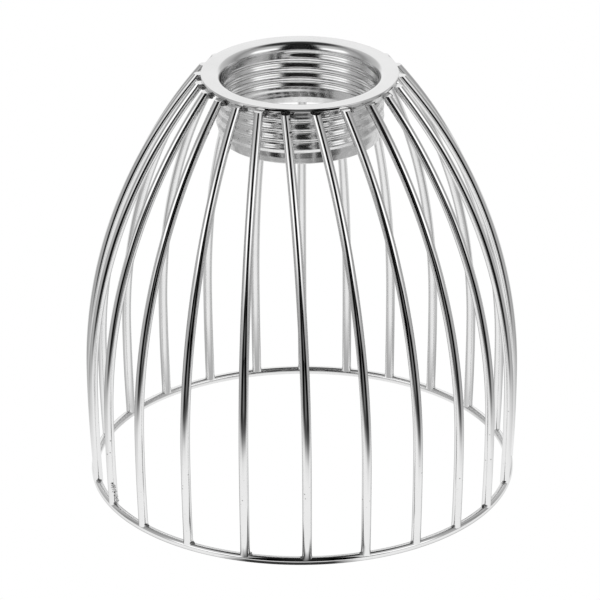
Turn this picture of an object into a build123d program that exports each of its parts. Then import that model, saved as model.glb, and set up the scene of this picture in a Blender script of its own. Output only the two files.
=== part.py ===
"""Wire cage lampshade: a pressed steel collar with a rolled thread, twenty-four bowed wires and a
bottom ring, welded together and chrome plated. It stands on the ring. Millimetres, +Z up, with the
origin on the shade's axis at the surface that it stands on."""
import math
import os

from build123d import *

# Whole shade
SHADE_HEIGHT = 102.4        # standing surface to the top of the flange
RIB_COUNT = 24

# Bottom ring
RING_RADIUS = 50.0          # axis to the centre of the ring's wire
RING_WIRE_DIA = 2.0

# Bowed wires
RIB_WIRE_DIA = 2.2
RIB_BULGE = 0.6             # how far a wire bows out beyond the ring where the cage is widest
RIB_WIDEST_HEIGHT = 25.0
RIB_FOOT_SINK = 0.4         # how far a foot's corners reach down beside the ring

# The wires are set by hand, so their feet drift off even places in slow waves round the ring, and
# their heads lag behind the feet. Angles go round the axis from the front wire to the right.
FOOT_WAVE_SIZE_DEG = (3.0, 0.8, 1.6)        # a wave once, twice and three times round
FOOT_WAVE_CREST_DEG = (100.0, 150.0, 14.0)
HEAD_LAG_DEG = 2.0          # away from the front
FRONT_HEAD_LAG_DEG = 9.4    # at the front wire, where the lag is largest
FRONT_LAG_POWER = 20        # a larger power keeps the large lag closer to the front wire

# Collar
SHEET = 0.9
FLANGE_RADIUS = 23.0
FLANGE_EDGE_ROUND = 0.25
RIB_HEAD_OVERHANG = 0.2     # centre of a wire's head, out from the flange's edge
NECK_RADIUS = 19.1          # outside of the plain part of the neck
NECK_DEPTH = 15.2           # top of the flange to the neck's lower edge
MOUTH_ROUND = 2.1           # rounding from the flange into the hole
NECK_END_ROUND = 0.2

# Rolled thread in the neck
THREAD_PITCH = 2.5
THREAD_TURNS = 4.1
THREAD_START_DEG = 70.0     # where the roll begins, round from the right-hand side
THREAD_ROLL_HEIGHT = 0.5    # how far the roll stands out of the neck, and is sunk inside
THREAD_ROLL_WIDTH = 1.9
THREAD_ROLL_ROOT = 0.25     # how far the roll's solid reaches behind the wall surface
PLAIN_END = 2.5             # from the centre of the last turn to the neck's lower edge

# Sizes that follow
RING_WIRE_RADIUS = RING_WIRE_DIA / 2
RIB_WIRE_RADIUS = RIB_WIRE_DIA / 2
RIB_WIDEST_RADIUS = RING_RADIUS + RIB_BULGE
FLANGE_UNDERSIDE = SHADE_HEIGHT - SHEET
NECK_BORE_RADIUS = NECK_RADIUS - SHEET
NECK_LOWER_EDGE = SHADE_HEIGHT - NECK_DEPTH
THREAD_START = NECK_LOWER_EDGE + PLAIN_END
RIB_HEAD_RADIUS = FLANGE_RADIUS + RIB_HEAD_OVERHANG
RIB_FOOT_HEIGHT = RING_WIRE_DIA - RIB_FOOT_SINK


def in_rib_plane(radius, offset):
    """Distance along an upright plane beside the axis for a point this far from the axis."""
    return math.sqrt(radius**2 - offset**2)


def rib_plane(foot_deg, head_deg):
    """Turn of the upright plane that holds a wire's foot and head, and its offset from the axis."""
    lean = math.radians(foot_deg - head_deg)
    span = math.sqrt(RING_RADIUS**2 + RIB_HEAD_RADIUS**2 - 2 * RING_RADIUS * RIB_HEAD_RADIUS * math.cos(lean))
    offset = RING_RADIUS * RIB_HEAD_RADIUS * math.sin(lean) / span
    return foot_deg + math.degrees(math.asin(offset / RING_RADIUS)), offset


def upright_arc_radius(run, rise):
    """Radius of an arc that leaves the widest point straight up or down and ends at run, rise."""
    return (run**2 + rise**2) / (2 * run)


def point_on_bow(height, radius_of_arc, widest):
    """Point of the bow at a height, on the arc that is upright at the widest point."""
    rise = height - RIB_WIDEST_HEIGHT
    return (widest - radius_of_arc + math.sqrt(radius_of_arc**2 - rise**2), height)


def make_collar():
    """One pressed piece: flat flange, rounded mouth and neck with a rolled thread."""
    with BuildSketch() as section:
        with BuildLine():
            Polyline(
                (NECK_BORE_RADIUS, NECK_LOWER_EDGE),
                (NECK_RADIUS, NECK_LOWER_EDGE),
                (NECK_RADIUS, FLANGE_UNDERSIDE),
                (FLANGE_RADIUS, FLANGE_UNDERSIDE),
                (FLANGE_RADIUS, SHADE_HEIGHT),
                (NECK_BORE_RADIUS, SHADE_HEIGHT),
                close=True,
            )
        make_face()
        fillet(corner(section, NECK_BORE_RADIUS, SHADE_HEIGHT), MOUTH_ROUND)
        fillet(corner(section, NECK_RADIUS, FLANGE_UNDERSIDE), MOUTH_ROUND - SHEET)
        for height in (FLANGE_UNDERSIDE, SHADE_HEIGHT):
            fillet(corner(section, FLANGE_RADIUS, height), FLANGE_EDGE_ROUND)
        for radius in (NECK_BORE_RADIUS, NECK_RADIUS):
            fillet(corner(section, radius, NECK_LOWER_EDGE), NECK_END_ROUND)
    collar = revolve(Plane.XZ * section.sketch, Axis.Z)
    collar += thread_roll(NECK_RADIUS)
    collar -= thread_roll(NECK_BORE_RADIUS)
    return collar


def corner(section, radius, height):
    """The section's own corner at a radius and a height."""
    return [v for v in section.vertices() if math.hypot(v.X - radius, v.Y - height) < 0.01]


def thread_roll(wall_radius):
    """Round-topped helical roll that stands out of a cylinder of this radius."""
    path = Helix(THREAD_PITCH, THREAD_PITCH * THREAD_TURNS, wall_radius, center=(0, 0, THREAD_START))
    half = THREAD_ROLL_WIDTH / 2
    with BuildSketch(Plane(origin=path @ 0, x_dir=(1, 0, 0), z_dir=path % 0)) as roll:
        with BuildLine():
            ThreePointArc((0, -half), (THREAD_ROLL_HEIGHT, 0), (0, half))
            Polyline((0, half), (-THREAD_ROLL_ROOT, half), (-THREAD_ROLL_ROOT, -half), (0, -half))
        make_face()
    return Rot(0, 0, THREAD_START_DEG) * sweep(roll.sketch, path, is_frenet=True)


def make_ring():
    """Bottom ring of one wire, closed on itself."""
    section = Plane.XZ * Pos(RING_RADIUS, RING_WIRE_RADIUS) * Circle(RING_WIRE_RADIUS)
    return revolve(section, Axis.Z)


def foot_drift(place_deg):
    """How far a foot stands off its even place, in degrees, as the sum of the slow waves."""
    drift = 0
    for index, (size, crest) in enumerate(zip(FOOT_WAVE_SIZE_DEG, FOOT_WAVE_CREST_DEG)):
        drift += size * math.cos(math.radians((index + 1) * (place_deg - crest)))
    return drift


def head_lag(place_deg):
    """How far a head lags behind its foot, in degrees."""
    nearness = math.cos(math.radians(place_deg / 2)) ** FRONT_LAG_POWER
    return HEAD_LAG_DEG + (FRONT_HEAD_LAG_DEG - HEAD_LAG_DEG) * nearness


def make_rib(foot_deg, head_deg, ring):
    """One bowed wire, its foot saddled on the ring and its head flat under the flange."""
    turn, offset = rib_plane(foot_deg, head_deg)
    widest = in_rib_plane(RIB_WIDEST_RADIUS, offset)
    foot = in_rib_plane(RING_RADIUS, offset)
    head = in_rib_plane(RIB_HEAD_RADIUS, offset)
    foot_arc = upright_arc_radius(widest - foot, RIB_WIDEST_HEIGHT - RING_WIRE_DIA)
    head_arc = upright_arc_radius(widest - head, FLANGE_UNDERSIDE - RIB_WIDEST_HEIGHT)
    below = RIB_FOOT_HEIGHT - RIB_WIRE_DIA
    above = FLANGE_UNDERSIDE + RIB_WIRE_DIA
    upright = Plane(origin=(-offset, 0, 0), x_dir=(0, -1, 0), z_dir=(-1, 0, 0))
    with BuildLine(upright) as bow:
        lower = ThreePointArc(
            point_on_bow(below, foot_arc, widest),
            point_on_bow((below + RIB_WIDEST_HEIGHT) / 2, foot_arc, widest),
            (widest, RIB_WIDEST_HEIGHT),
        )
        ThreePointArc(
            (widest, RIB_WIDEST_HEIGHT),
            point_on_bow((above + RIB_WIDEST_HEIGHT) / 2, head_arc, widest),
            point_on_bow(above, head_arc, widest),
        )
    wire = sweep(Plane(origin=lower @ 0, z_dir=lower % 0) * Circle(RIB_WIRE_RADIUS), bow.line)
    room = 4 * RIB_WIDEST_RADIUS
    kept = FLANGE_UNDERSIDE - RIB_FOOT_HEIGHT
    between = Pos(0, 0, RIB_FOOT_HEIGHT + kept / 2) * Box(room, room, kept)
    return Rot(0, 0, turn) * (wire & between) - ring


def main():
    os.makedirs("parts", exist_ok=True)
    export_step(make_collar(), "parts/threaded_collar.step")
    ring = make_ring()
    export_step(ring, "parts/bottom_ring.step")
    for index in range(RIB_COUNT):
        place = index * 360 / RIB_COUNT
        foot = place + foot_drift(place)
        export_step(make_rib(foot, foot - head_lag(place), ring), f"parts/rib_{index + 1:02d}.step")


main()
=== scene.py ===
"""Looks of a chrome plated wire cage lampshade on a white studio ground."""
import math
import random

import bmesh
import bpy
from mathutils import Matrix, Vector, noise


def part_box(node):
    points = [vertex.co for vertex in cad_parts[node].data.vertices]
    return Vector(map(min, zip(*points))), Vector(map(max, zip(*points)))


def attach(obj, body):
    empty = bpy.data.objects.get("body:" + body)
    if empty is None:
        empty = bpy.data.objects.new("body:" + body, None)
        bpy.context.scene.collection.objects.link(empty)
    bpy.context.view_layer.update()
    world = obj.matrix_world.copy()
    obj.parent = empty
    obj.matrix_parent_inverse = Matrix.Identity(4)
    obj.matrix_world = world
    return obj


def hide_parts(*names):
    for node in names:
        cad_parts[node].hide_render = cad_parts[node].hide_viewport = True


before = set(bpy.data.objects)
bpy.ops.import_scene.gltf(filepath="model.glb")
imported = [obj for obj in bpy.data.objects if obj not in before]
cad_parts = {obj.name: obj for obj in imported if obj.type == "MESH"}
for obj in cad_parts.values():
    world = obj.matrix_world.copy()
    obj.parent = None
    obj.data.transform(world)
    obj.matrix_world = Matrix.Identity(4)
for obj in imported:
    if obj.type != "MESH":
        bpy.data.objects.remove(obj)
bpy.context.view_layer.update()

MM = 0.001

# Sizes of the shade, as the frame has them
SHADE_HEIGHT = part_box("threaded_collar")[1][2]
NECK_LOWER_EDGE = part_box("threaded_collar")[0][2]
FLANGE_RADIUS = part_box("threaded_collar")[1][0]
RING_WIRE_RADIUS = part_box("bottom_ring")[1][2] / 2
RING_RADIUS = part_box("bottom_ring")[1][0] - RING_WIRE_RADIUS
RIB_NODES = sorted(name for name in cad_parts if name.startswith("rib_"))

# Collar
SHEET = 0.9 * MM
NECK_RADIUS = 19.1 * MM
MOUTH_ROUND = 2.1 * MM
FLANGE_EDGE_ROUND = 0.25 * MM
NECK_END_ROUND = 0.2 * MM
END_TAPER = 0.2 * MM        # how much the sheet thins on each side towards the neck's lower edge
END_TAPER_HEIGHT = 1.6 * MM
FLANGE_UNDERSIDE = SHADE_HEIGHT - SHEET
COLLAR_STEPS_AROUND = 320

# Rolled thread in the neck
THREAD_PITCH = 2.5 * MM
THREAD_RUN_OUT_DEG = 30.0   # how much further down the roll fades than the part's solid takes it
THREAD_LOW_FADE = 0.5       # length of that fade, in turns
THREAD_HIGH_FADE = 0.06     # length of the fade at the top, in turns
THREAD_TURNS = 4.1 + THREAD_RUN_OUT_DEG / 360
THREAD_START_DEG = 70.0 - THREAD_RUN_OUT_DEG
THREAD_ROLL_HEIGHT = 0.5 * MM
THREAD_ROLL_WIDTH = 1.9 * MM
THREAD_ROLL_REACH = 1.2     # how far the roll's soft foot goes, in half widths
PLAIN_END = 2.5 * MM        # from the solid's lowest turn to the neck's lower edge
THREAD_START_HEIGHT = NECK_LOWER_EDGE + PLAIN_END - THREAD_PITCH * THREAD_RUN_OUT_DEG / 360

# Bottom ring
RING_STEPS_AROUND = 360
RING_WIRE_SIDES = 32

# Bowed wires
RIB_WIRE_RADIUS = 1.1 * MM
RIB_BULGE = 0.6 * MM
RIB_WIDEST_RADIUS = RING_RADIUS + RIB_BULGE
RIB_WIDEST_HEIGHT = 25.0 * MM
RIB_HEAD_OVERHANG = 0.2 * MM
RIB_HEAD_RADIUS = FLANGE_RADIUS + RIB_HEAD_OVERHANG
FOOT_WAVE_SIZE_DEG = (3.0, 0.8, 1.6)
FOOT_WAVE_CREST_DEG = (100.0, 150.0, 14.0)
HEAD_LAG_DEG = 2.0
FRONT_HEAD_LAG_DEG = 9.4
FRONT_LAG_POWER = 20
RING_TOP = 2 * RING_WIRE_RADIUS
FOOT_SINK = 0.45 * MM       # how far a foot reaches below the top of the ring
FOOT_FLARE = 0.2            # share by which a welded foot is wider
FOOT_FLARE_HEIGHT = 1.5 * MM
RIB_SIDES = 28
RIB_FOOT_STEPS = 13
RIB_FOOT_STEP = 0.12 * MM
RIB_BOW_STEPS = 74

# Beads of weld: how lumpy they are, the size of a lump, and how they spread and lie flat
BEAD_LUMPS = 0.45
BEAD_LUMP_SIZE = 0.35 * MM
BEAD_SPREAD = 1.5
BEAD_FLATNESS = 0.8
HEAD_BEAD_RADIUS = 0.65 * MM
HEAD_BEAD_DROP = 0.35 * MM              # centre of the bead, below the flange
HEAD_BEAD_INSET = 0.5 * MM              # centre of the bead, in from the wire's centre
HEAD_BEAD_SINK = 0.1 * MM               # how far the bead reaches into the flange
FOOT_BEAD_LIMIT = -0.1 * RING_RADIUS    # only feet in front of this depth have a bead
FOOT_BEAD_LIFT = 0.1 * MM               # centre of the bead, above the ring and out from the wire's
SPATTERED_WIRE = 0                      # the front wire has specks of spatter below its head
SPATTER_SPECKS = 5
SPATTER_DROP = 1.3 * MM                 # first speck, below the flange
SPATTER_PITCH = 0.8 * MM
ROUGH_FOOT = 20                         # wire at the left whose foot has the roughest weld
ROUGH_FOOT_BEADS = 10
ROUGH_FOOT_HEIGHT = 2.5 * MM            # lowest bead
ROUGH_FOOT_PITCH = 0.55 * MM

# Camera, worked out from the flange, the ring and the outline in the photograph
CAMERA_PLACE = (0.0, -860.8 * MM, 448.0 * MM)
CAMERA_DOWN_DEG = 25.14
CAMERA_TURN_DEG = -0.02
CAMERA_ROLL_DEG = -0.39
CAMERA_LENS = 240.0
CAMERA_SENSOR_WIDTH = 36.0
CAMERA_REACH = 20.0

# Plating and weld metal. Scales are in waves or cells to the metre
CLOUD_SCALE = 90.0
CLOUD_SHADE = 0.9           # brightness of the plating where it is clouded
CLOUD_DULL = 1.8            # how much rougher it is there
SCRATCH_SCALE = 1400.0
PIT_SCALE = 700.0
PIT_GREY = 0.35
PIT_BY_DISTANCE = ((0.08, 1.0), (0.16, 0.0))        # from a cell's centre, in cells
PITS_BY_HEIGHT_MM = ((12, 0.2), (15, 1.0), (19, 1.0), (24, 0.0))
PITS_BY_DEPTH_MM = ((-15, 1.0), (0, 0.0))
BACK_DULL_BY_DEPTH_MM = ((-10, 0.0), (40, 0.08))    # added roughness towards the back
PAINTED_EDGE_SHADE_BY_DEPTH_MM = ((-40, 0.35), (-5, 1.0))   # painted shade: edge tint of a wire's reflections, darker towards the front
NECK_OUTSIDE_BY_RADIUS_MM = ((18.8, 0.3), (19.0, 1.0))
NECK_OUTSIDE_DULL = 0.14    # added roughness of the neck's outside
WELD_GRAIN_SCALE = 900.0

# Levels that mirrors see in the room, by degrees round from straight ahead or above level
ROOM_GREY = 0.8             # all of the room's levels are taken times this
ROOM_BY_AZIMUTH = (
    (40, 0.0), (50, 0.45), (66, 0.62), (92, 0.55), (104, 0.36), (122, 0.6), (146, 0.75), (158, 1.2),
)
HIGH_WINDOW_BY_AZIMUTH = ((28, 0.0), (34, 1.0), (70, 1.0), (84, 0.0))
HIGH_WINDOW_BY_ELEVATION = ((9, 0.0), (15, 1.6), (30, 1.6), (38, 0.75))
LOW_WINDOW_BY_AZIMUTH = ((40, 0.0), (46, 1.0), (66, 1.0), (78, 0.0))
LOW_WINDOW_BY_ELEVATION = ((-1, 0.0), (5, 1.0), (11, 1.2), (16, 0.0))
OVERHEAD_BY_ELEVATION = ((56, 1.0), (68, 0.06))
STRIP_BY_AZIMUTH = ((9, 1.0), (17, 0.0))
STRIP_LEVEL = 0.14          # a dim strip straight in front, low down
STRIP_BY_ELEVATION = ((4, STRIP_LEVEL), (9, 0.02))

# Levels that mirrors see on the ground, by place in mm or by degrees round from straight ahead
GROUND_HALF = 3.0           # half the ground's width, in metres
GROUND_BY_DEPTH_MM = (
    (-184, 0.035), (-150, 0.12), (-135, 0.27), (-120, 0.55), (-106, 0.85), (-90, 0.97), (6, 0.95),
    (18, 0.72), (32, 0.5), (46, 0.45), (60, 0.5), (100, 0.75),
)
GROUND_EDGE_PULL = 60 * MM  # how much nearer the lit ground ends at the sides
GROUND_PULL_BY_SIDE_MM = (
    (-100, 0.3), (-50, 0.2), (-10, 0.0), (10, 0.0), (30, 0.25), (50, 0.5), (80, 0.85), (110, 1.0),
)
GROUND_PULL_BY_DEPTH_MM = ((-30, 1.0), (0, 0.0))
GROUND_STRIP_BY_DEPTH_MM = ((-210, STRIP_LEVEL), (-160, 0.0))
GROUND_BY_AZIMUTH = ((43, 0.0), (60, 0.45), (80, 0.5), (104, 0.33), (114, 0.75), (180, 0.9))
GROUND_ASIDE_MM = ((60, 0.0), (120, 1.0))
BEHIND_BY_DEPTH_MM = ((0, 0.0), (30, 1.0))
UNDER_RING_MM = ((3, 0.9), (8, 0.0))

# Shadow under the ring's front, by distance from the ring, from its middle and by depth
CONTACT_MIDDLE = -3 * MM
CONTACT_BY_RING_MM = ((3, 0.04), (7, 1.0))
CONTACT_BY_SIDE_MM = ((10, 0.0), (17, 1.0))
CONTACT_BY_DEPTH_MM = ((-30, 0.0), (30, 1.0))


def set_camera():
    """Long lens from straight in front and above, with the photograph's slight roll."""
    data = bpy.data.cameras.new("camera")
    data.lens = CAMERA_LENS
    data.sensor_width = CAMERA_SENSOR_WIDTH
    data.clip_end = CAMERA_REACH
    down = math.radians(CAMERA_DOWN_DEG)
    turn = math.radians(CAMERA_TURN_DEG)
    roll = math.radians(CAMERA_ROLL_DEG)
    ahead = Vector((math.sin(turn), math.cos(turn), 0.0))
    forward = ahead * math.cos(down) - Vector((0.0, 0.0, math.sin(down)))
    level = Vector((math.cos(turn), -math.sin(turn), 0.0))
    upward = level.cross(forward)
    right = math.cos(roll) * level + math.sin(roll) * upward
    top = math.cos(roll) * upward - math.sin(roll) * level
    camera = bpy.data.objects.new("camera", data)
    axes = Matrix((right, top, -forward)).transposed()
    camera.matrix_world = Matrix.Translation(CAMERA_PLACE) @ axes.to_4x4()
    bpy.context.scene.collection.objects.link(camera)
    bpy.context.scene.camera = camera


def grey(level):
    """Opaque grey of a level."""
    return (level, level, level, 1.0)


def maths(tree, operation, first, second=None):
    """Result of a maths node whose inputs are sockets or plain numbers."""
    node = tree.nodes.new("ShaderNodeMath")
    node.operation = operation
    for socket, value in zip(node.inputs, (first, second)):
        if isinstance(value, (int, float)):
            socket.default_value = value
        elif value is not None:
            tree.links.new(value, socket)
    return node.outputs[0]


def ramp(tree, source, stops):
    """Colour ramp over grey levels, from a list of place and level."""
    node = tree.nodes.new("ShaderNodeValToRGB")
    elements = node.color_ramp.elements
    while len(elements) < len(stops):
        elements.new(0.5)
    for element, (place, level) in zip(elements, stops):
        element.position = place
        element.color = grey(level)
    tree.links.new(source, node.inputs[0])
    return node.outputs[0]


def stepped(tree, source, stops):
    """Grey level along a value, from a list of value and level. The end levels hold beyond it."""
    low = stops[0][0]
    span = stops[-1][0] - low
    share = maths(tree, "DIVIDE", maths(tree, "SUBTRACT", source, low), span)
    return ramp(tree, share, [((value - low) / span, level) for value, level in stops])


def stepped_mm(tree, source, stops):
    """Grey level along a length, from a list of length in millimetres and level."""
    return stepped(tree, source, [(value * MM, level) for value, level in stops])


def blended(tree, first, second, share):
    """Value between two others, the second where the share is one."""
    rest = maths(tree, "SUBTRACT", 1.0, share)
    return maths(tree, "ADD", maths(tree, "MULTIPLY", first, rest), maths(tree, "MULTIPLY", second, share))


def parts_of(tree, vector):
    """The X, Y and Z of a vector."""
    node = tree.nodes.new("ShaderNodeSeparateXYZ")
    tree.links.new(vector, node.inputs[0])
    return node.outputs["X"], node.outputs["Y"], node.outputs["Z"]


def azimuth_of(tree, x, y):
    """Degrees round from straight ahead of the shade, the same to either side."""
    toward = maths(tree, "MULTIPLY", y, -1.0)
    return maths(tree, "DEGREES", maths(tree, "ARCTAN2", maths(tree, "ABSOLUTE", x), toward))


def noise_value(tree, vector, scale, detail=3.0, roughness=0.5):
    """Soft noise over a place."""
    node = tree.nodes.new("ShaderNodeTexNoise")
    node.inputs["Scale"].default_value = scale
    node.inputs["Detail"].default_value = detail
    node.inputs["Roughness"].default_value = roughness
    tree.links.new(vector, node.inputs["Vector"])
    return node.outputs[0]


def mixed_colour(tree, share, first, second):
    """Colour between two others. The first is a socket or a colour, the second a colour."""
    node = tree.nodes.new("ShaderNodeMix")
    node.data_type = "RGBA"
    tree.links.new(share, node.inputs["Factor"])
    if isinstance(first, tuple):
        node.inputs["A"].default_value = first
    else:
        tree.links.new(first, node.inputs["A"])
    node.inputs["B"].default_value = second
    return node.outputs["Result"]


def add_bump(tree, shader, height, strength, distance):
    """Small unevenness of a surface, from a value."""
    bump = tree.nodes.new("ShaderNodeBump")
    bump.inputs["Strength"].default_value = strength
    bump.inputs["Distance"].default_value = distance
    tree.links.new(height, bump.inputs["Height"])
    tree.links.new(bump.outputs[0], shader.inputs["Normal"])


def new_metal(name):
    """Metal with its tree, its shader and the place on the object."""
    material = bpy.data.materials.new(name)
    material.use_nodes = True
    tree = material.node_tree
    shader = tree.nodes["Principled BSDF"]
    shader.inputs["Metallic"].default_value = 1.0
    place = tree.nodes.new("ShaderNodeTexCoord").outputs["Object"]
    return material, tree, shader, place


def plating(name, tint, dull, mottle):
    """Bright plating: clear reflections with faint clouding and fine scratches. It is a little
    duller towards the back, where the photograph shows softer reflections. The colour and the
    roughness are returned too, because each use adds to them."""
    material, tree, shader, place = new_metal(name)
    clouds = noise_value(tree, place, CLOUD_SCALE)
    clouded = ramp(tree, clouds, ((0.35, 0.0), (0.7, mottle)))
    colour = mixed_colour(tree, clouded, grey(tint), grey(tint * CLOUD_SHADE))
    rough = ramp(tree, clouds, ((0.3, dull), (0.75, dull * CLOUD_DULL)))
    depth = parts_of(tree, place)[1]
    rough = maths(tree, "ADD", rough, stepped_mm(tree, depth, BACK_DULL_BY_DEPTH_MM))
    scratches = noise_value(tree, place, SCRATCH_SCALE, detail=4.0, roughness=0.7)
    add_bump(tree, shader, scratches, strength=0.02, distance=0.02 * MM)
    return material, tree, shader, place, colour, rough


def collar_plating(name):
    """Plating of the collar, duller on the outside of the neck."""
    material, tree, shader, place, colour, rough = plating(name, tint=0.845, dull=0.05, mottle=0.5)
    x, y, z = parts_of(tree, place)
    below_flange = stepped(tree, z, ((FLANGE_UNDERSIDE, NECK_OUTSIDE_DULL), (SHADE_HEIGHT, 0.0)))
    squares = maths(tree, "ADD", maths(tree, "POWER", x, 2.0), maths(tree, "POWER", y, 2.0))
    outside = stepped_mm(tree, maths(tree, "SQRT", squares), NECK_OUTSIDE_BY_RADIUS_MM)
    rough = maths(tree, "ADD", rough, maths(tree, "MULTIPLY", below_flange, outside))
    tree.links.new(colour, shader.inputs["Base Color"])
    tree.links.new(rough, shader.inputs["Roughness"])
    return material


def wire_plating(name):
    """Plating of the wires, with small pits near the front feet, and painted shade that darkens
    the reflections along the edges towards the front."""
    material, tree, shader, place, colour, rough = plating(name, tint=0.865, dull=0.04, mottle=0.4)
    depth, height = parts_of(tree, place)[1:]
    spots = tree.nodes.new("ShaderNodeTexVoronoi")
    spots.inputs["Scale"].default_value = PIT_SCALE
    tree.links.new(place, spots.inputs["Vector"])
    pits = ramp(tree, spots.outputs["Distance"], PIT_BY_DISTANCE)
    pits = maths(tree, "MULTIPLY", pits, stepped_mm(tree, height, PITS_BY_HEIGHT_MM))
    pits = maths(tree, "MULTIPLY", pits, stepped_mm(tree, depth, PITS_BY_DEPTH_MM))
    tree.links.new(mixed_colour(tree, pits, colour, grey(PIT_GREY)), shader.inputs["Base Color"])
    # painted shade: the edge tint darkens the wires' edge reflections towards the front
    tree.links.new(stepped_mm(tree, depth, PAINTED_EDGE_SHADE_BY_DEPTH_MM), shader.inputs["Specular Tint"])
    tree.links.new(rough, shader.inputs["Roughness"])
    return material


def weld_metal(name):
    """Rough, darkened bead of weld under the plating."""
    material, tree, shader, place = new_metal(name)
    grain = noise_value(tree, place, WELD_GRAIN_SCALE, detail=4.0, roughness=0.7)
    tree.links.new(ramp(tree, grain, ((0.35, 0.06), (0.65, 0.55))), shader.inputs["Base Color"])
    tree.links.new(ramp(tree, grain, ((0.3, 0.2), (0.7, 0.45))), shader.inputs["Roughness"])
    add_bump(tree, shader, grain, strength=0.6, distance=0.15 * MM)
    return material


def smooth_object(name, mesh, material):
    """Object from a finished bmesh, smooth all over."""
    data = bpy.data.meshes.new(name)
    mesh.to_mesh(data)
    mesh.free()
    data.polygons.foreach_set("use_smooth", [True] * len(data.polygons))
    data.materials.append(material)
    piece = bpy.data.objects.new(name, data)
    bpy.context.scene.collection.objects.link(piece)
    return piece


def closed_grid(rows):
    """Faces between rows of vertices, each row and the row order closed on themselves."""
    mesh = bmesh.new()
    grid = [[mesh.verts.new(point) for point in row] for row in rows]
    for index, row in enumerate(grid):
        after = grid[(index + 1) % len(grid)]
        for step in range(len(row)):
            ahead = (step + 1) % len(row)
            mesh.faces.new((row[step], row[ahead], after[ahead], after[step]))
    bmesh.ops.recalc_face_normals(mesh, faces=mesh.faces)
    return mesh


def arc(centre, radius, start_deg, end_deg, steps):
    """Points of an arc in the plane of radius and height."""
    points = []
    for step in range(steps + 1):
        angle = math.radians(start_deg + (end_deg - start_deg) * step / steps)
        points.append((centre[0] + radius * math.cos(angle), centre[1] + radius * math.sin(angle)))
    return points


def straight(start, end, steps):
    """Points between two others, without the ends."""
    return [
        (start[0] + (end[0] - start[0]) * step / steps, start[1] + (end[1] - start[1]) * step / steps)
        for step in range(1, steps)
    ]


def collar_profile():
    """Closed outline of the sheet, as radius, height and whether the thread moves the point."""
    bore = NECK_RADIUS - SHEET
    mouth = (bore + MOUTH_ROUND, SHADE_HEIGHT - MOUTH_ROUND)
    inner_round = arc(mouth, MOUTH_ROUND, 90, 180, steps=14)
    outer_round = arc(mouth, MOUTH_ROUND - SHEET, 180, 90, steps=10)
    edge = FLANGE_RADIUS - FLANGE_EDGE_ROUND
    top_edge = arc((edge, SHADE_HEIGHT - FLANGE_EDGE_ROUND), FLANGE_EDGE_ROUND, 0, 90, steps=5)
    under_edge = arc((edge, FLANGE_UNDERSIDE + FLANGE_EDGE_ROUND), FLANGE_EDGE_ROUND, -90, 0, steps=5)
    inset = END_TAPER + NECK_END_ROUND
    end_height = NECK_LOWER_EDGE + NECK_END_ROUND
    low_in = arc((bore + inset, end_height), NECK_END_ROUND, 180, 270, steps=4)
    low_out = arc((NECK_RADIUS - inset, end_height), NECK_END_ROUND, 270, 360, steps=4)
    taper_in = (bore, NECK_LOWER_EDGE + END_TAPER_HEIGHT)
    taper_out = (NECK_RADIUS, NECK_LOWER_EDGE + END_TAPER_HEIGHT)
    parts = [
        (top_edge, False),
        (straight(top_edge[-1], inner_round[0], steps=8), False),
        (inner_round, False),
        (straight(inner_round[-1], taper_in, steps=76), True),
        ([taper_in] + straight(taper_in, low_in[0], steps=8), True),
        (low_in, False),
        (straight(low_in[-1], low_out[0], steps=3), False),
        (low_out, False),
        (straight(low_out[-1], taper_out, steps=8) + [taper_out], True),
        (straight(taper_out, outer_round[0], steps=76), True),
        (outer_round, False),
        (straight(outer_round[-1], under_edge[0], steps=6), False),
        (under_edge, False),
        (straight(under_edge[-1], top_edge[0], steps=3), False),
    ]
    return [(radius, height, moved) for points, moved in parts for radius, height in points]


def thread_rise(height, angle):
    """How far the rolled thread stands out at a height and an angle, fading at both its ends."""
    past_start = ((angle - math.radians(THREAD_START_DEG)) / (2 * math.pi)) % 1.0
    rise = 0.0
    for turn in range(int(THREAD_TURNS) + 1):
        along = turn + past_start
        if along > THREAD_TURNS:
            continue
        away = abs(height - THREAD_START_HEIGHT - along * THREAD_PITCH) / (THREAD_ROLL_WIDTH / 2)
        if away < THREAD_ROLL_REACH:
            fade = min(1.0, along / THREAD_LOW_FADE, (THREAD_TURNS - along) / THREAD_HIGH_FADE)
            fade = fade * fade * (3 - 2 * fade)
            rise = max(rise, fade * (0.5 + 0.5 * math.cos(math.pi * away / THREAD_ROLL_REACH)))
    return rise * THREAD_ROLL_HEIGHT


def make_collar(material):
    """Flange and neck in one sheet, with the rolled thread inside and outside."""
    profile = collar_profile()
    rows = []
    for step in range(COLLAR_STEPS_AROUND):
        angle = 2 * math.pi * step / COLLAR_STEPS_AROUND
        row = []
        for radius, height, moved in profile:
            out = radius + (thread_rise(height, angle) if moved else 0.0)
            row.append((out * math.cos(angle), out * math.sin(angle), height))
        rows.append(row)
    collar = smooth_object("collar_sheet", closed_grid(rows), material)
    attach(collar, "root")
    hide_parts("threaded_collar")


def make_ring(material):
    """Round wire, closed on itself."""
    section = arc((RING_RADIUS, RING_WIRE_RADIUS), RING_WIRE_RADIUS, 0, 360, RING_WIRE_SIDES)[:-1]
    rows = []
    for step in range(RING_STEPS_AROUND):
        angle = 2 * math.pi * step / RING_STEPS_AROUND
        across, deep = math.cos(angle), math.sin(angle)
        rows.append([(radius * across, radius * deep, height) for radius, height in section])
    ring = smooth_object("ring_wire", closed_grid(rows), material)
    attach(ring, "root")
    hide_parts("bottom_ring")


def foot_drift(place_deg):
    """How far a hand-set foot stands off its even place, in degrees, as in the part's source."""
    drift = 0
    for index, (size, crest) in enumerate(zip(FOOT_WAVE_SIZE_DEG, FOOT_WAVE_CREST_DEG)):
        drift += size * math.cos(math.radians((index + 1) * (place_deg - crest)))
    return drift


def head_lag(place_deg):
    """How far a head lags behind its foot, in degrees."""
    nearness = math.cos(math.radians(place_deg / 2)) ** FRONT_LAG_POWER
    return HEAD_LAG_DEG + (FRONT_HEAD_LAG_DEG - HEAD_LAG_DEG) * nearness


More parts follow.
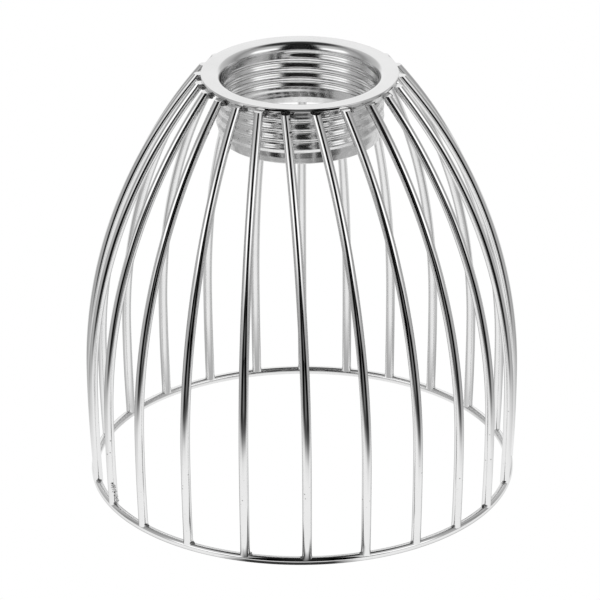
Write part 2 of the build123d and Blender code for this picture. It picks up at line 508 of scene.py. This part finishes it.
def rib_plane(index):
    """Turn of the upright plane that holds a wire's foot and head, and its offset from the axis."""
    place = index * 360 / len(RIB_NODES)
    lean = math.radians(head_lag(place))
    product = RING_RADIUS * RIB_HEAD_RADIUS
    span = math.sqrt(RING_RADIUS**2 + RIB_HEAD_RADIUS**2 - 2 * product * math.cos(lean))
    offset = product * math.sin(lean) / span
    return math.radians(place + foot_drift(place)) + math.asin(offset / RING_RADIUS), offset


def bow_point(height, offset):
    """Centre of a wire in its own plane, and its slope outwards with height."""
    widest = math.sqrt(RIB_WIDEST_RADIUS**2 - offset**2)
    if height < RIB_WIDEST_HEIGHT:
        run = widest - math.sqrt(RING_RADIUS**2 - offset**2)
        rise = RIB_WIDEST_HEIGHT - RING_TOP
    else:
        run = widest - math.sqrt(RIB_HEAD_RADIUS**2 - offset**2)
        rise = FLANGE_UNDERSIDE - RIB_WIDEST_HEIGHT
    radius = (run**2 + rise**2) / (2 * run)
    away = height - RIB_WIDEST_HEIGHT
    across = math.sqrt(radius**2 - away**2)
    return widest - radius + across, -away / across


def rib_frame(index, height):
    """Centre, sideways, outward and lengthwise directions of a wire at a height."""
    turn, offset = rib_plane(index)
    out, slope = bow_point(height, offset)
    radial = Vector((math.sin(turn), -math.cos(turn), 0.0))
    side = Vector((math.cos(turn), math.sin(turn), 0.0))
    along = Vector((0, 0, 1.0)) + slope * radial
    along.normalize()
    outward = along.cross(side)
    if outward.dot(radial) < 0:
        outward = -outward
    centre = radial * out - side * offset + Vector((0, 0, height))
    return centre, side, outward, along


def rib_section(index, height, cut_level):
    """Points round a wire at a height, wider close to its foot, and cut level at its two ends."""
    centre, side, outward, along = rib_frame(index, height)
    above_foot = (height - RING_TOP + FOOT_SINK) / FOOT_FLARE_HEIGHT
    flare = 1.0 + FOOT_FLARE * max(0.0, 1.0 - above_foot) ** 2
    points = []
    for corner in range(RIB_SIDES):
        angle = 2 * math.pi * corner / RIB_SIDES
        point = centre + (math.cos(angle) * flare * side + math.sin(angle) * outward) * RIB_WIRE_RADIUS
        if cut_level:
            point += along * ((height - point.z) / along.z)
        points.append(point)
    return points


def make_rib(index, material):
    """One bowed wire with a small flare where its foot is welded and a flat head."""
    foot = RING_TOP - FOOT_SINK
    heights = [foot + RIB_FOOT_STEP * step for step in range(RIB_FOOT_STEPS + 1)]
    bow = heights[-1]
    for step in range(1, RIB_BOW_STEPS + 1):
        heights.append(bow + (FLANGE_UNDERSIDE - bow) * step / RIB_BOW_STEPS)
    ends = (heights[0], heights[-1])
    mesh = bmesh.new()
    grid = []
    for height in heights:
        grid.append([mesh.verts.new(point) for point in rib_section(index, height, height in ends)])
    for low, high in zip(grid, grid[1:]):
        for step in range(RIB_SIDES):
            ahead = (step + 1) % RIB_SIDES
            mesh.faces.new((low[step], low[ahead], high[ahead], high[step]))
    mesh.faces.new(list(reversed(grid[0])))
    mesh.faces.new(grid[-1])
    for end in (grid[0], grid[-1]):
        for step in range(RIB_SIDES):
            mesh.edges.get((end[step], end[(step + 1) % RIB_SIDES])).smooth = False
    bmesh.ops.recalc_face_normals(mesh, faces=mesh.faces)
    rib = smooth_object(f"rib_wire_{index + 1:02d}", mesh, material)
    for polygon in rib.data.polygons:
        polygon.use_smooth = len(polygon.vertices) == 4
    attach(rib, "root")
    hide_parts(RIB_NODES[index])


def make_bead(name, middle, radius, seed, highest, material):
    """Small rough bead of weld, flattened, with its top cut off at a height."""
    mesh = bmesh.new()
    bmesh.ops.create_icosphere(mesh, subdivisions=4, radius=radius)
    shift = Vector((seed * 3.1, 0.0, 0.0))
    for vertex in mesh.verts:
        vertex.co *= 1.0 + BEAD_LUMPS * noise.noise(vertex.co / BEAD_LUMP_SIZE + shift)
        x, y, z = vertex.co
        vertex.co = middle + Vector((x * BEAD_SPREAD, y * BEAD_SPREAD, z * BEAD_FLATNESS))
        vertex.co.z = min(vertex.co.z, highest)
    bead = smooth_object(name, mesh, material)
    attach(bead, "root")


def make_head_weld(index, material):
    """Bead in the corner between a wire's head and the flange."""
    centre, side, outward = rib_frame(index, FLANGE_UNDERSIDE - HEAD_BEAD_DROP)[:3]
    beside = side * RIB_WIRE_RADIUS * random.uniform(1.1, 1.35)
    middle = centre + beside - outward * HEAD_BEAD_INSET
    highest = FLANGE_UNDERSIDE + HEAD_BEAD_SINK
    make_bead(f"head_weld_{index + 1:02d}", middle, HEAD_BEAD_RADIUS, index, highest, material)


def make_spatter(index, material):
    """Specks in a line down a wire, below its head."""
    for mark in range(SPATTER_SPECKS):
        height = FLANGE_UNDERSIDE - SPATTER_DROP - SPATTER_PITCH * mark
        centre, side, outward = rib_frame(index, height)[:3]
        middle = centre + (0.55 * side + 0.75 * outward) * RIB_WIRE_RADIUS
        radius = random.uniform(0.12, 0.24) * MM
        make_bead(f"spatter_{mark + 1}", middle, radius, mark, SHADE_HEIGHT, material)


def make_rough_foot(index, material):
    """Beads run together up a wire from its foot, under the plating."""
    for mark in range(ROUGH_FOOT_BEADS):
        centre, side, outward = rib_frame(index, ROUGH_FOOT_HEIGHT + ROUGH_FOOT_PITCH * mark)[:3]
        middle = centre + (0.85 * side + (0.08 * mark - 0.4) * outward) * RIB_WIRE_RADIUS
        radius = random.uniform(0.24, 0.42) * MM
        make_bead(f"rough_foot_{mark + 1}", middle, radius, mark + 90, SHADE_HEIGHT, material)


def make_foot_weld(index, material):
    """Bead beside a front wire's foot, on the side towards the middle of the shade."""
    centre, side, outward = rib_frame(index, RING_TOP + FOOT_BEAD_LIFT)[:3]
    if centre.y > FOOT_BEAD_LIMIT:
        return
    inward = -side if centre.x > 0 else side
    beside = inward * RIB_WIRE_RADIUS * random.uniform(0.95, 1.15)
    middle = centre + beside + outward * FOOT_BEAD_LIFT
    radius = random.uniform(0.28, 0.42) * MM
    make_bead(f"foot_weld_{index + 1:02d}", middle, radius, index + 50, SHADE_HEIGHT, material)


def make_welds(index, material, plated):
    """All beads of one wire."""
    random.seed(40 + index)
    make_head_weld(index, material)
    if index == SPATTERED_WIRE:
        make_spatter(index, material)
    if index == ROUGH_FOOT:
        make_rough_foot(index, plated)
    make_foot_weld(index, material)


def show_white_to_camera(tree, shader_kind, output_kind, reflected_grey, level):
    """Even white for the camera, and a level of grey for all that mirrors it."""
    reflected = tree.nodes.new(shader_kind)
    reflected.inputs["Color"].default_value = grey(reflected_grey)
    tree.links.new(level, reflected.inputs["Strength"])
    white = tree.nodes.new(shader_kind)
    white.inputs["Color"].default_value = grey(1.0)
    white.inputs["Strength"].default_value = 1.0
    path = tree.nodes.new("ShaderNodeLightPath")
    mix = tree.nodes.new("ShaderNodeMixShader")
    tree.links.new(path.outputs["Is Camera Ray"], mix.inputs[0])
    tree.links.new(reflected.outputs[0], mix.inputs[1])
    tree.links.new(white.outputs[0], mix.inputs[2])
    output = tree.nodes.new(output_kind)
    tree.links.new(mix.outputs[0], output.inputs["Surface"])


def lit_ground(tree, x, y, from_ring):
    """Level of the ground that mirrors see: a lit sheet that ends a little way in front of the
    shade, with a dim strip beyond it, pale under the back of the ring, and graded at the sides."""
    pull = maths(tree, "MULTIPLY", stepped_mm(tree, x, GROUND_PULL_BY_SIDE_MM), GROUND_EDGE_PULL)
    pulled = maths(tree, "SUBTRACT", y, pull)
    depth = blended(tree, y, pulled, stepped_mm(tree, y, GROUND_PULL_BY_DEPTH_MM))
    level = stepped_mm(tree, depth, GROUND_BY_DEPTH_MM)
    azimuth = azimuth_of(tree, x, y)
    ahead = stepped(tree, azimuth, STRIP_BY_AZIMUTH)
    strip = maths(tree, "MULTIPLY", ahead, stepped_mm(tree, y, GROUND_STRIP_BY_DEPTH_MM))
    level = maths(tree, "ADD", level, strip)
    behind = stepped_mm(tree, y, BEHIND_BY_DEPTH_MM)
    under_ring = maths(tree, "MULTIPLY", behind, stepped_mm(tree, from_ring, UNDER_RING_MM))
    level = maths(tree, "MAXIMUM", level, under_ring)
    aside = stepped_mm(tree, maths(tree, "ABSOLUTE", x), GROUND_ASIDE_MM)
    return blended(tree, level, stepped(tree, azimuth, GROUND_BY_AZIMUTH), aside)


def contact_shadow(tree, x, y, from_ring):
    """Close to nought where the ring's front shuts out the light under it, and one elsewhere."""
    off_middle = maths(tree, "ABSOLUTE", maths(tree, "SUBTRACT", x, CONTACT_MIDDLE))
    off_middle = stepped_mm(tree, off_middle, CONTACT_BY_SIDE_MM)
    off_ring = stepped_mm(tree, from_ring, CONTACT_BY_RING_MM)
    not_in_front = stepped_mm(tree, y, CONTACT_BY_DEPTH_MM)
    return maths(tree, "MAXIMUM", maths(tree, "MAXIMUM", off_ring, off_middle), not_in_front)


def make_floor():
    """White ground, which mirrors see as a lit sheet with an end."""
    mesh = bmesh.new()
    corners = ((-1, -1), (1, -1), (1, 1), (-1, 1))
    mesh.faces.new([mesh.verts.new((x * GROUND_HALF, y * GROUND_HALF, 0.0)) for x, y in corners])
    material = bpy.data.materials.new("ground")
    material.use_nodes = True
    tree = material.node_tree
    tree.nodes.clear()
    place = tree.nodes.new("ShaderNodeTexCoord").outputs["Object"]
    x, y = parts_of(tree, place)[:2]
    from_axis = tree.nodes.new("ShaderNodeVectorMath")
    from_axis.operation = "LENGTH"
    tree.links.new(place, from_axis.inputs[0])
    from_ring = maths(tree, "SUBTRACT", from_axis.outputs["Value"], RING_RADIUS)
    from_ring = maths(tree, "ABSOLUTE", from_ring)
    lit = lit_ground(tree, x, y, from_ring)
    level = maths(tree, "MULTIPLY", lit, contact_shadow(tree, x, y, from_ring))
    show_white_to_camera(tree, "ShaderNodeEmission", "ShaderNodeOutputMaterial", 1.0, level)
    floor = smooth_object("floor", mesh, material)


def window(tree, azimuth, elevation, by_azimuth, by_elevation):
    """Lit patch of the room to either side of straight ahead."""
    across = stepped(tree, azimuth, by_azimuth)
    return maths(tree, "MULTIPLY", across, stepped(tree, elevation, by_elevation))


def set_studio():
    """White surround for the camera. Mirrors see a dark room in front, strips, sides and a lit back."""
    world = bpy.data.worlds.new("studio")
    bpy.context.scene.world = world
    world.use_nodes = True
    tree = world.node_tree
    tree.nodes.clear()
    direction = tree.nodes.new("ShaderNodeTexCoord").outputs["Generated"]
    x, y, z = parts_of(tree, direction)
    azimuth = azimuth_of(tree, x, y)
    elevation = maths(tree, "DEGREES", maths(tree, "ARCSINE", z))
    high_window = window(tree, azimuth, elevation, HIGH_WINDOW_BY_AZIMUTH, HIGH_WINDOW_BY_ELEVATION)
    low_window = window(tree, azimuth, elevation, LOW_WINDOW_BY_AZIMUTH, LOW_WINDOW_BY_ELEVATION)
    windows = maths(tree, "MAXIMUM", high_window, low_window)
    around = maths(tree, "MAXIMUM", stepped(tree, azimuth, ROOM_BY_AZIMUTH), windows)
    level = maths(tree, "MULTIPLY", around, stepped(tree, elevation, OVERHEAD_BY_ELEVATION))
    strip = window(tree, azimuth, elevation, STRIP_BY_AZIMUTH, STRIP_BY_ELEVATION)
    level = maths(tree, "ADD", level, strip)
    show_white_to_camera(tree, "ShaderNodeBackground", "ShaderNodeOutputWorld", ROOM_GREY, level)


bpy.context.scene.view_settings.view_transform = "Standard"
set_camera()
make_floor()
set_studio()
collar_chrome = collar_plating("collar_chrome")
wire_chrome = wire_plating("wire_chrome")
bead_metal = weld_metal("weld_metal")
make_collar(collar_chrome)
make_ring(wire_chrome)
for number in range(len(RIB_NODES)):
    make_rib(number, wire_chrome)
    make_welds(number, bead_metal, wire_chrome)
